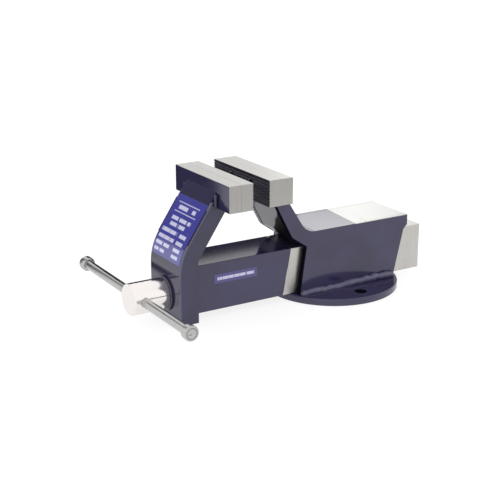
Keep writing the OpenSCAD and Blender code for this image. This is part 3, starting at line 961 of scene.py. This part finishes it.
# Painted highlight: the base welds take a paler copy of the blue enamel for the light that their ripples
# catch.
WELD_HIGHLIGHT_ENAMEL = Enamel("weld_highlight_enamel", (0.078, 0.073, 0.135))
SLIDE_ENAMEL = Enamel("slide_enamel", bare=(PAINT_STOPS_ON_SLIDE,),
                      steel=Steel("slide_steel", (0.54, 0.525, 0.50), grain=Grain.ALONG_Z))
NECK_ENAMEL = Enamel("neck_enamel", (0.024, 0.025, 0.05), bare=(SHADE_ON_NECK,),
                     steel=Steel("neck_painted_shade", (0.012, 0.012, 0.014), (0.006, 0.006, 0.007), Grain.EVEN,
                                 0.6))
CHROME = PlainMetal("bright_chrome", (0.83, 0.79, 0.77), (0.7, 0.65, 0.63), Grain.EVEN, 0.13, 0.0,
                    0.2, 0.985)
BAR_STEEL = PlainMetal("bar_steel", (0.47, 0.468, 0.462), (0.36, 0.34, 0.33), Grain.ALONG_X, 0.24,
                       0.0, 0.3, 0.93)
WASHER_STEEL = PlainMetal("washer_steel", (0.15, 0.145, 0.19), (0.1, 0.1, 0.13), Grain.EVEN, 0.34,
                          0.000004)
BLACKED_STEEL = PlainMetal("blacked_steel", (0.05, 0.05, 0.055), (0.14, 0.12, 0.11), Grain.EVEN,
                           0.38, 0.000004)
COLLAR_STEEL = PlainMetal("collar_steel", (0.4, 0.39, 0.38), (0.2, 0.18, 0.17), Grain.EVEN, 0.3,
                          0.000004)
NUT_IRON = PlainMetal("nut_iron", (0.22, 0.22, 0.225), (0.08, 0.07, 0.06), Grain.ALONG_X, 0.45,
                      0.00001, 0.6)
BRASS = PlainMetal("bush_brass", (0.62, 0.45, 0.2), (0.3, 0.2, 0.09), Grain.EVEN, 0.28, 0.000004)


# ---- Sub-assemblies


@dataclass
class Base:
    """The round base plate and the welds that hold the body on it.

    Attributes:
        rim_round: how far the plate's rim is rounded.
        bead_radius: the weld bead's radius.
        bead_sink: how far the bead's middle lies from the corner that it fills.
    """

    rim_round: float = 0.5 * MM
    bead_radius: float = 3.3 * MM
    bead_sink: float = 0.5 * MM

    def plate(self, shop: Workshop) -> None:
        """Makes the round plate with its bolt holes, whose walls are painted dull and black as painted
        shade.
        """
        bm = merged_copy("base_plate")
        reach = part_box("base_plate")[1].x - 2 * MM
        soften(bm, self.rim_round, lambda edge: all(vert.co.xy.length > reach for vert in edge.verts))
        # Painted shade: the holes' walls are marked to be painted near-black.
        mark(bm, "cut", lambda face: abs(face.normal.z) < 0.5
             and face.calc_center_median().xy.length < reach)
        shop.piece(bm, "base_plate_finished", Body.BASE, Slot.ENAMEL, ENAMEL, "base_plate")

    def welds(self, shop: Workshop) -> None:
        """Makes a bead along each side plate, with a crater at its front end."""
        low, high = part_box("base_welds")
        _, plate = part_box("right_side_plate")
        beads = []
        for index, side in enumerate((-1, 1)):
            x = side * (plate.x + self.bead_sink)
            z = low.z + self.bead_sink
            ends = (Vector((x, low.y + 2.2 * MM, z)), Vector((x, high.y - 0.5 * MM, z)))
            beads.append(bead(ends, self.bead_radius, seed=index + 1))
            beads.append(self._crater(Vector((x, low.y + 2.2 * MM, z)), side))
        # The beads' paler enamel is a painted highlight.
        shop.piece(joined(*beads), "base_weld_beads", Body.BASE, Slot.ENAMEL, WELD_HIGHLIGHT_ENAMEL,
                   "base_welds")

    def _crater(self, centre: Vector, side: int) -> bmesh.types.BMesh:
        """A dished blob where the weld started.

        Args:
            centre: the blob's middle.
            side: 1 on the right and -1 on the left.

        Returns:
            The blob's mesh.
        """
        bm = bmesh.new()
        bmesh.ops.create_icosphere(bm, subdivisions=4, radius=1.12 * self.bead_radius,
                                   matrix=Matrix.Translation(centre))
        outward = Vector((side, -0.25, 0.8)).normalized()
        for vert in bm.verts:
            facing = (vert.co - centre).normalized().dot(outward)
            dish = max(0.0, 1 - ((1 - facing) / 0.09) ** 2)
            vert.co -= outward * dish * 0.9 * MM
        return bm


@dataclass
class FixedBody:
    """The side plates with their neck, the webs, the guide and the anvil.

    Attributes:
        edge: how far the side plates' outer edges are rounded.
        inner_edge: how far the webs' and the guide's edges would be rounded; not used.
    """

    edge: float = 0.55 * MM
    inner_edge: float = 0.3 * MM

    def side_plates(self, shop: Workshop) -> None:
        """Makes both side plates.

        Their top edges are bare where the anvil's face is. The right plate's front and rear
        edges are marked with the cut attribute, which paints them dull and black as painted shade.
        """
        _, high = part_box("anvil_plate")
        top = BareSide((0.0, 0.0, 1.0), high.z - TOP_SKIN, 0.0, 0.1 * MM)
        finish = Enamel("side_plate_enamel", bare=(PAINT_STOPS_ON_ANVIL, top))
        for node in ("left_side_plate", "right_side_plate"):
            bm = merged_copy(node)
            soften(bm, self.edge, outer_edge(node))
            if node == "right_side_plate":
                # Painted shade: the right plate's front and rear edges are painted black.
                mark(bm, "cut", lambda face: abs(face.normal.x) < 0.5 and face.normal.z < 0.3)
            shop.piece(bm, f"{node}_finished", Body.BASE, Slot.ENAMEL, finish, node)

    def webs(self, shop: Workshop) -> None:
        """Makes the webs that close the neck."""
        # The front web's lower part is painted near-black: painted shade.
        shop.softened("neck_front_web", Body.BASE, Slot.ENAMEL, NECK_ENAMEL, 0.0)
        shop.softened("neck_rear_web", Body.BASE, Slot.ENAMEL, ENAMEL, 0.0)

    def guide(self, shop: Workshop) -> None:
        """Makes the plate that guides the slide from above."""
        shop.softened("slide_guide", Body.BASE, Slot.ENAMEL, ENAMEL, 0.0)

    def anvil(self, shop: Workshop) -> None:
        """Makes the anvil plate, ground bare behind a slanting line."""
        bright = Steel("anvil_steel", (0.55, 0.55, 0.535), (0.46, 0.44, 0.41), Grain.ALONG_X, 0.34, 0.35)
        finish = Enamel("anvil_enamel", bare=(PAINT_STOPS_ON_ANVIL,), steel=bright)
        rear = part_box("anvil_plate")[1].y - 0.05 * MM
        shop.softened("anvil_plate", Body.BASE, Slot.ENAMEL, finish, self.edge,
                      lambda edge: all(vert.co.y > rear for vert in edge.verts)
                      and abs(edge.verts[0].co.x - edge.verts[1].co.x) > MM)


@dataclass
class Jaw:
    """One jaw: a block, the serrated plate on it and the screws that hold the plate.

    Attributes:
        prefix: fixed or moving.
        body: the body that it rides on.
        grips_towards: 1 where its gripping face looks along +Y, and -1 where it looks along -Y.
        edge: how far the block's edges are rounded.
    """

    prefix: str
    body: Body
    grips_towards: int
    edge: float = 0.35 * MM

    def block(self, shop: Workshop) -> None:
        """Makes the block, painted on its back and underside and bare elsewhere."""
        node = f"{self.prefix}_jaw_block"
        low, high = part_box(node)
        back = low.y if self.grips_towards > 0 else -high.y
        finish = Enamel(f"{node}_paint", ARM_ENAMEL.colour, bare=(
            BareSide((0.0, self.grips_towards, 0.0), back + 0.3 * MM, 0.12 * MM, 0.12 * MM),
            BareSide((0.0, 0.0, 1.0), low.z + 0.3 * MM, 0.1 * MM, 0.1 * MM)),
            steel=Steel(f"{node}_steel", grain=Grain.ALONG_Z), worn=0.2, runs=0.2 * MM)
        shop.softened(node, self.body, Slot.GROUND_STEEL, finish, self.edge)

    def plate(self, shop: Workshop) -> None:
        """Makes the plate, with its serrated face marked as the gripping one."""
        node = f"{self.prefix}_jaw_plate"
        low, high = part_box(node)
        face_y = high.y if self.grips_towards > 0 else low.y
        bm = merged_copy(node)
        soften(bm, 0.15 * MM, lambda edge: all(abs(abs(vert.co.x) - high.x) < 0.02 * MM
                                               for vert in edge.verts), 2)
        mark(bm, "grip", lambda face: abs(face.calc_center_median().y - face_y) < 1.2 * MM
             and abs(face.normal.x) < 0.3 and face.normal.y * self.grips_towards > 0.3)
        shop.piece(bm, f"{node}_finished", self.body, Slot.GROUND_STEEL, JawSteel(), node)

    def screws(self, shop: Workshop) -> None:
        """Makes the socket screws."""
        shop.softened(f"{self.prefix}_jaw_screws", self.body, Slot.DARK_STEEL, BLACKED_STEEL,
                      0.4 * MM, segments=2)


@dataclass
class Slide:
    """The box slide, painted in front and ground bare where it runs in the body.

    Attributes:
        edge: how far its long corners are rounded.
    """

    edge: float = 0.7 * MM

    def plates(self, shop: Workshop) -> None:
        """Makes the webs, the top and the two lower strips."""
        for node in ("left_slide_web", "right_slide_web"):
            shop.softened(node, Body.SLIDE, Slot.ENAMEL, SLIDE_ENAMEL, self.edge, outer_edge(node))
        for node in ("slide_top_plate", "slide_bottom_strips"):
            shop.softened(node, Body.SLIDE, Slot.ENAMEL, SLIDE_ENAMEL, 0.0)


@dataclass
class Arm:
    """The moving arm's four plates, its bush and the weld under its jaw.

    Attributes:
        corner: how far its long front corners are rounded.
        edge: the same for its side plates' outer edges.
        bead_radius: the radius of the weld under the jaw.
        lean: how far the upper arm leans from the vertical, in degrees.
    """

    corner: float = 1.5 * MM
    edge: float = 0.7 * MM
    bead_radius: float = 1.7 * MM
    lean: float = 34.0

    def plates(self, shop: Workshop) -> None:
        """Makes the bent front plate, the side plates and the rear plate."""
        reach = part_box("arm_front_plate")[1].x - 0.05 * MM
        bm = merged_copy("arm_front_plate")
        soften(bm, self.corner, lambda edge: min(vert.co.x * side for vert in edge.verts
               for side in (math.copysign(1, edge.verts[0].co.x),)) > reach
               and any(face.normal.y < -0.5 for face in edge.link_faces), 5)
        # The rounded front corners carry a painted highlight line from their finish.
        shop.piece(bm, "arm_front_plate_finished", Body.SLIDE, Slot.ENAMEL, ARM_FRONT_HIGHLIGHT_ENAMEL,
                   "arm_front_plate")
        for node in ("arm_left_plate", "arm_right_plate"):
            outer = outer_edge(node)
            shop.softened(node, Body.SLIDE, Slot.ENAMEL, ARM_ENAMEL, self.edge,
                          lambda edge, outer=outer: outer(edge) and self._at_rear(edge))
        shop.softened("arm_rear_plate", Body.SLIDE, Slot.ENAMEL, ARM_ENAMEL, 0.0)

    @staticmethod
    def _at_rear(edge: bmesh.types.BMEdge) -> bool:
        """Whether an edge is on the arm's rear side, away from the seam with its front plate."""
        return any(face.normal.y > 0.3 for face in edge.link_faces)

    def bush(self, shop: Workshop) -> None:
        """Makes the bush that the spindle turns in."""
        shop.softened("spindle_bush", Body.SLIDE, Slot.BUSH_BRASS, BRASS, 0.4 * MM, segments=2)

    def jaw_weld(self, shop: Workshop) -> None:
        """Makes the weld between the front plate and the jaw block.

        Along the top it is dressed flush with the plate's leaning face. At both sides it is left
        as a rippled bead.
        """
        low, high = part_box("arm_front_plate")
        block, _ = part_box("moving_jaw_block")
        slope = math.tan(math.radians(self.lean))
        thick = block.y - self._outer_top(high.z)
        rise = thick / slope
        tuck = (high.z - block.z) * slope
        bm = bmesh.new()
        for inset, section in (
                (self.corner, [(block.y - thick, high.z), (block.y, high.z),
                               (block.y, high.z + rise)]),
                (0.4 * MM, [(block.y - tuck, block.z), (block.y, block.z), (block.y, high.z)])):
            face = bm.faces.new([bm.verts.new((low.x + inset, y, z)) for y, z in section])
            made = bmesh.ops.extrude_face_region(bm, geom=[face])["geom"]
            moved = [item for item in made if isinstance(item, bmesh.types.BMVert)]
            bmesh.ops.translate(bm, vec=(high.x - low.x - 2 * inset, 0, 0), verts=moved)
        bmesh.ops.recalc_face_normals(bm, faces=bm.faces)
        sides = []
        for index, x in enumerate((low.x, high.x)):
            foot = Vector((x, block.y - 0.3 * thick, block.z + 1.5 * MM))
            tip = Vector((x, block.y - 0.1 * thick, high.z + 0.75 * rise))
            sides.append(bead((foot, tip), self.bead_radius, seed=5 + index))
        shop.piece(joined(bm, *sides), "jaw_weld", Body.SLIDE, Slot.ENAMEL, ARM_ENAMEL)

    @staticmethod
    def _outer_top(height: float) -> float:
        """How far forward the front plate's outer face reaches at its top."""
        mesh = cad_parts["arm_front_plate"].data
        return min(vert.co.y for vert in mesh.vertices if vert.co.z > height - 0.05 * MM)


@dataclass
class Labels:
    """The printed labels, whose words are plain bars."""

    def arm_label(self, shop: Workshop) -> None:
        """Makes the label on the arm: a heading between rules, two short rows and four long ones."""
        low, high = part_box("arm_label")
        bars = [PrintedBar(0.13, 0.85, 0.885, 0.90), PrintedBar(0.13, 0.85, 0.735, 0.75),
                PrintedBar(0.2, 0.78, 0.785, 0.85, 2.0),
                PrintedBar(0.16, 0.81, 0.61, 0.67, 3.0), PrintedBar(0.2, 0.70, 0.515, 0.575, 2.6)]
        for row in range(4):
            middle = 0.43 - 0.112 * row
            right = 0.44 if row == 3 else 0.58
            bars.append(PrintedBar(0.05, right, middle - 0.03, middle + 0.03, 4.0 + row % 2))
            bars.append(PrintedBar(0.66, 0.88, middle - 0.03, middle + 0.03))
        finish = LabelFilm("arm_label_film", tuple(low), (high.x - low.x, 0.0, 0.0),
                           (0.0, 0.0, high.z - low.z), tuple(bars))
        shop.softened("arm_label", Body.SLIDE, Slot.LABEL_FILM, finish, 0.0)

    def slide_label(self, shop: Workshop) -> None:
        """Makes the small label on the slide."""
        low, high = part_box("slide_label")
        bars = (PrintedBar(0.07, 0.93, 0.34, 0.66, 7.0),)
        finish = LabelFilm("slide_label_film", tuple(low), (0.0, high.y - low.y, 0.0),
                           (0.0, 0.0, high.z - low.z), bars, (0.030, 0.024, 0.17), (0.5, 0.48, 0.66))
        shop.softened("slide_label", Body.SLIDE, Slot.LABEL_FILM, finish, 0.0)


@dataclass
class Nut:
    """The nut block on the base and its countersunk screws."""

    def block(self, shop: Workshop) -> None:
        """Makes the machined iron block."""
        shop.softened("nut_block", Body.BASE, Slot.NUT_IRON, NUT_IRON, 0.6 * MM, segments=2)

    def screws(self, shop: Workshop) -> None:
        """Makes the screws that hold it."""
        shop.softened("nut_screws", Body.BASE, Slot.DARK_STEEL, BLACKED_STEEL, 0.2 * MM, segments=2)


@dataclass
class Spindle:
    """The spindle with its turned head and thread, and what holds it in the arm.

    Attributes:
        head_round: how far the head's front edge is rounded.
        head_rings: how many rings of faces the head's side has.
        core_radius: the thread's root radius.
        lead: how far the screw moves in one turn.
        crest: the width of the thread's crest.
        root: the width of the thread's foot.
    """

    head_round: float = 1.1 * MM
    head_rings: int = 24
    core_radius: float = 8.3 * MM
    lead: float = 5.0 * MM
    crest: float = 1.5 * MM
    root: float = 3.1 * MM

    def screw(self, shop: Workshop) -> None:
        """Makes the head, the plain neck and the threaded length, with the handle's hole."""
        low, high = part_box("spindle")
        washer_low, washer_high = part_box("thrust_washer")
        _, collar_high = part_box("retaining_collar")
        middle = (low + high) / 2
        centre = Vector((middle.x, low.y, middle.z))
        head_radius = high.x
        neck_radius = 10.0 * MM
        head_end = washer_low.y - low.y
        thread_start = collar_high.y - low.y + 6 * MM
        total = high.y - low.y
        rings = [(head_end * index / self.head_rings, head_radius)
                 for index in range(self.head_rings + 1)]
        bm = turned([(0, 0), (0, head_radius - self.head_round - 1.2 * MM), *rings,
                     (head_end, neck_radius),
                     (thread_start - 2 * MM, neck_radius), (thread_start, self.core_radius),
                     (total - 1.5 * MM, self.core_radius), (total, self.core_radius - 1.5 * MM),
                     (total, 0)], centre, AXIS_Y, 96)
        soften(bm, self.head_round, lambda edge: all(vert.co.y < low.y + MM and
               (vert.co - centre).length > 0.9 * head_radius for vert in edge.verts), 4)
        soften(bm, 0.7 * MM, lambda edge: all(abs(vert.co.y - washer_low.y) < 0.1 * MM and
               (vert.co - centre - AXIS_Y * head_end).length > 0.9 * head_radius
               for vert in edge.verts), 3)
        bm = self._cross_hole(bm, low)
        half_crest = self.crest / 2
        half_root = self.root / 2
        inner = self.core_radius - 0.3 * MM
        tooth = [(-half_root, inner), (-half_root, self.core_radius), (-half_crest, neck_radius),
                 (half_crest, neck_radius), (half_root, self.core_radius), (half_root, inner)]
        turns = math.floor((total - thread_start - 4 * MM) / self.lead)
        ridge = helix(tooth, centre + AXIS_Y * (thread_start + 1.5 * MM), AXIS_Y, self.lead, turns)
        shop.piece(joined(bm, ridge), "spindle_finished", Body.SPINDLE, Slot.BRIGHT_CHROME, CHROME,
                   "spindle")

    @staticmethod
    def _cross_hole(bm: bmesh.types.BMesh, low: Vector) -> bmesh.types.BMesh:
        """Cuts the hole that the handle slides in.

        Args:
            bm: the turned spindle, which is used up.
            low: the spindle's lowest corner.

        Returns:
            The spindle with its hole.
        """
        bar_low, bar_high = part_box("handle_bar")
        bar = (bar_low + bar_high) / 2
        radius = (bar_high.z - bar_low.z) / 2 + 0.1 * MM
        solid = bpy.data.meshes.new("uncut_spindle")
        bm.to_mesh(solid)
        bm.free()
        drill = bmesh.new()
        spot = Matrix.Translation((0, bar.y, bar.z)) @ Matrix.Rotation(math.pi / 2, 4, "Y")
        bmesh.ops.create_cone(drill, cap_ends=True, segments=48, radius1=radius, radius2=radius,
                              depth=60 * MM, matrix=spot)
        tool = bpy.data.meshes.new("drill")
        drill.to_mesh(tool)
        drill.free()
        objects = [bpy.data.objects.new(mesh.name, mesh) for mesh in (solid, tool)]
        for item in objects:
            bpy.context.scene.collection.objects.link(item)
        cut = objects[0].modifiers.new("cut", "BOOLEAN")
        cut.object = objects[1]
        cut.solver = "EXACT"
        ready = objects[0].evaluated_get(bpy.context.evaluated_depsgraph_get())
        bm = bmesh.new()
        bm.from_mesh(ready.data)
        for item in objects:
            mesh = item.data
            bpy.data.objects.remove(item)
            bpy.data.meshes.remove(mesh)
        soften(bm, 0.35 * MM, lambda edge: all(
            abs((vert.co - Vector((vert.co.x, bar.y, bar.z))).length - radius) < 0.05 * MM
            for vert in edge.verts), 2)
        return bm

    def washer(self, shop: Workshop) -> None:
        """Makes the thrust washer behind the head."""
        shop.softened("thrust_washer", Body.SPINDLE, Slot.DARK_STEEL, WASHER_STEEL, 0.35 * MM,
                      segments=2)

    def collar(self, shop: Workshop) -> None:
        """Makes the collar behind the bush and the pin through it."""
        shop.softened("retaining_collar", Body.SPINDLE, Slot.GROUND_STEEL, COLLAR_STEEL, 0.5 * MM,
                      segments=2)
        shop.softened("collar_pin", Body.SPINDLE, Slot.DARK_STEEL, BLACKED_STEEL, 0.4 * MM,
                      segments=2)


@dataclass
class Handle:
    """The sliding bar and its two dished knobs.

    Attributes:
        bar_edge: how far the bar's ends are chamfered.
        knob_edge: how far the knobs' edges are rounded.
        rim_width: how wide the rim round a knob's dished end is.
        dish_depth: how deep the dish is.
    """

    bar_edge: float = 0.4 * MM
    knob_edge: float = 0.9 * MM
    rim_width: float = 1.9 * MM
    dish_depth: float = 2.6 * MM

    def bar(self, shop: Workshop) -> None:
        """Makes the bar, with the thinner ends that the knobs screw on."""
        low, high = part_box("handle_bar")
        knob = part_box("right_handle_knob")[0].x
        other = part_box("left_handle_knob")[1].x
        middle = (low + high) / 2
        radius = (high.z - low.z) / 2
        thin = 2.5 * MM
        centre = Vector((low.x, middle.y, middle.z))
        start = other - low.x
        end = knob - low.x
        bm = turned([(0, 0), (0, thin), (start, thin), (start, radius), (end, radius), (end, thin),
                     (high.x - low.x, thin), (high.x - low.x, 0)], centre, AXIS_X, 56)
        soften(bm, self.bar_edge, segments=2)
        shop.piece(bm, "handle_bar_finished", Body.HANDLE, Slot.BRIGHT_CHROME, BAR_STEEL,
                   "handle_bar")

    def knobs(self, shop: Workshop) -> None:
        """Makes both knobs, each with a tapered shoulder, a round rim and a dished end."""
        for node, side in (("left_handle_knob", -1), ("right_handle_knob", 1)):
            low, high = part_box(node)
            middle = (low + high) / 2
            radius = (high.z - low.z) / 2
            length = high.x - low.x
            centre = Vector((low.x if side > 0 else high.x, middle.y, middle.z))
            bore = 2.55 * MM
            dish = radius - self.rim_width
            bowl = [(length - self.dish_depth * math.cos(math.pi / 2 * step / 8),
                     dish * math.sin(math.pi / 2 * step / 8)) for step in range(8, -1, -1)]
            bm = turned([(0, bore), (0, radius - 1.4 * MM), (1.6 * MM, radius - 0.5 * MM),
                         (2.4 * MM, radius), (length, radius), *bowl], centre, AXIS_X * side, 56)
            rim = centre.x + side * (length - 0.2 * MM)
            soften(bm, self.knob_edge, lambda edge, rim=rim, side=side, middle=middle: all(
                side * (vert.co.x - rim) > 0 and
                (vert.co - Vector((vert.co.x, middle.y, middle.z))).length > radius - 0.2 * MM
                for vert in edge.verts), 4)
            bmesh.ops.holes_fill(bm, edges=[edge for edge in bm.edges if edge.is_boundary])
            shop.piece(bm, f"{node}_finished", Body.HANDLE, Slot.BRIGHT_CHROME, BAR_STEEL, node)


# ---- Studio


@dataclass
class Studio:
    """The pale floor, the soft lights, the dark reflector and the camera.

    Attributes:
        azimuth: the camera's angle round the object, in degrees.
        elevation: its angle above the horizon, in degrees.
        lens: its focal length in millimetres.
        distance: how far it is from the point that it looks at.
        aim: that point.
        floor_glow: how much light the floor gives of its own, which keeps its shadows pale.
        sky: how bright the surroundings are.
    """

    azimuth: float = 58.54
    elevation: float = 17.89
    lens: float = 80.70
    distance: float = 1.0901
    aim: Triple = (-0.018, -0.0835, 0.044)
    floor_glow: float = 0.82
    sky: float = 1.15

    def floor(self) -> None:
        """Makes the pale floor."""
        bm = bmesh.new()
        bmesh.ops.create_grid(bm, x_segments=1, y_segments=1, size=15.0)
        material, graph, shader = new_material("pale_floor")
        shade = graph.noise(graph.place(), 3.0, 2.0)
        graph.feed(shader.inputs["Base Color"],
                   graph.blend(shade, (0.19, 0.19, 0.19), (0.21, 0.21, 0.21)))
        shader.inputs["Roughness"].default_value = 0.8
        shader.inputs["Emission Color"].default_value = (1, 1, 1, 1)
        shader.inputs["Emission Strength"].default_value = self.floor_glow
        self._staged(bm, "floor", material)

    def dark_cards(self) -> None:
        """Makes the dark cards that only reflections see.

        One stands behind the slide and one far to the right, along Y. The other two stand in front
        on the left, along X.
        """
        cards = {"rear_card": (0.004, (-0.150, -0.200, 0.0), (-0.150, 0.060, 0.1135)),
                 "high_card": (0.16, (-0.60, -0.30, 0.12), (-0.12, -0.30, 0.62)),
                 "low_card": (0.02, (-0.50, -0.30, 0.0), (-0.234, -0.30, 0.12)),
                 "right_card": (0.02, (0.42, -0.20, 0.0), (0.42, 0.40, 0.040))}
        for name, (shade, low, high) in cards.items():
            material, _, shader = new_material(name)
            shader.inputs["Base Color"].default_value = (shade, shade, 1.1 * shade, 1)
            shader.inputs["Roughness"].default_value = 1.0
            bm = bmesh.new()
            bottom = [bm.verts.new(low), bm.verts.new((high[0], high[1], low[2]))]
            edge = bm.edges.new(bottom)
            raised = bmesh.ops.extrude_edge_only(bm, edges=[edge])["geom"]
            verts = [item for item in raised if isinstance(item, bmesh.types.BMVert)]
            bmesh.ops.translate(bm, vec=(0, 0, high[2] - low[2]), verts=verts)
            card = self._staged(bm, name, material)
            card.visible_camera = False
            card.visible_diffuse = False
            card.visible_shadow = False

    @staticmethod
    def _staged(bm: bmesh.types.BMesh, name: str, material: bpy.types.Material) -> bpy.types.Object:
        """Makes a staged object from a mesh.

        Args:
            bm: the mesh, which is used up.
            name: the object's name.
            material: its material.

        Returns:
            The object.
        """
        mesh = bpy.data.meshes.new(name)
        bm.to_mesh(mesh)
        bm.free()
        mesh.materials.append(material)
        made = bpy.data.objects.new(name, mesh)
        bpy.context.scene.collection.objects.link(made)
        return made

    def lights(self) -> None:
        """Makes the white surroundings and one soft panel."""
        world = bpy.data.worlds.new("white_studio")
        world.use_nodes = True
        world.node_tree.nodes["Background"].inputs["Color"].default_value = (1, 1, 1, 1)
        world.node_tree.nodes["Background"].inputs["Strength"].default_value = self.sky
        bpy.context.scene.world = world
        self._panel("back_panel", Vector((-1.20, 0.90, 0.80)), (0.26, 0.62), 1.35)
        bpy.context.scene.view_settings.view_transform = "Standard"

    @staticmethod
    def _panel(name: str, place: Vector, size: tuple[float, float], glow: float) -> None:
        """Makes one soft panel that looks at the object.

        Args:
            name: its name.
            place: its middle.
            size: its width and height.
            glow: how bright it looks, where 1 is as bright as the surroundings.
        """
        light = bpy.data.lights.new(name, "AREA")
        light.shape = "RECTANGLE"
        light.size, light.size_y = size
        light.energy = glow * math.pi * size[0] * size[1]
        made = bpy.data.objects.new(name, light)
        made.location = place
        made.rotation_euler = (Vector((0, 0, 0.05)) - place).to_track_quat("-Z", "Y").to_euler()
        bpy.context.scene.collection.objects.link(made)

    def camera(self) -> None:
        """Makes the camera."""
        turn = math.radians(self.azimuth)
        rise = math.radians(self.elevation)
        away = Vector((math.sin(turn) * math.cos(rise), -math.cos(turn) * math.cos(rise),
                       math.sin(rise)))
        data = bpy.data.cameras.new("camera")
        data.lens = self.lens
        data.sensor_width = 36.0
        made = bpy.data.objects.new("camera", data)
        made.location = Vector(self.aim) + away * self.distance
        made.rotation_euler = (math.pi / 2 - rise, 0, turn)
        bpy.context.scene.collection.objects.link(made)
        bpy.context.scene.camera = made


def main() -> None:
    """Builds the studio and then every sub-assembly of the vise."""
    logging.basicConfig(level=logging.INFO, format="%(message)s")
    studio = Studio()
    studio.camera()
    studio.floor()
    studio.lights()
    studio.dark_cards()
    shop = Workshop()
    base = Base()
    base.plate(shop)
    base.welds(shop)
    body = FixedBody()
    body.side_plates(shop)
    body.webs(shop)
    body.guide(shop)
    body.anvil(shop)
    nut = Nut()
    nut.block(shop)
    nut.screws(shop)
    for jaw in (Jaw("fixed", Body.BASE, -1), Jaw("moving", Body.SLIDE, 1)):
        jaw.block(shop)
        jaw.plate(shop)
        jaw.screws(shop)
    Slide().plates(shop)
    arm = Arm()
    arm.plates(shop)
    arm.bush(shop)
    arm.jaw_weld(shop)
    labels = Labels()
    labels.arm_label(shop)
    labels.slide_label(shop)
    spindle = Spindle()
    spindle.screw(shop)
    spindle.washer(shop)
    spindle.collar(shop)
    handle = Handle()
    handle.bar(shop)
    handle.knobs(shop)


if __name__ == "__main__":
    main()
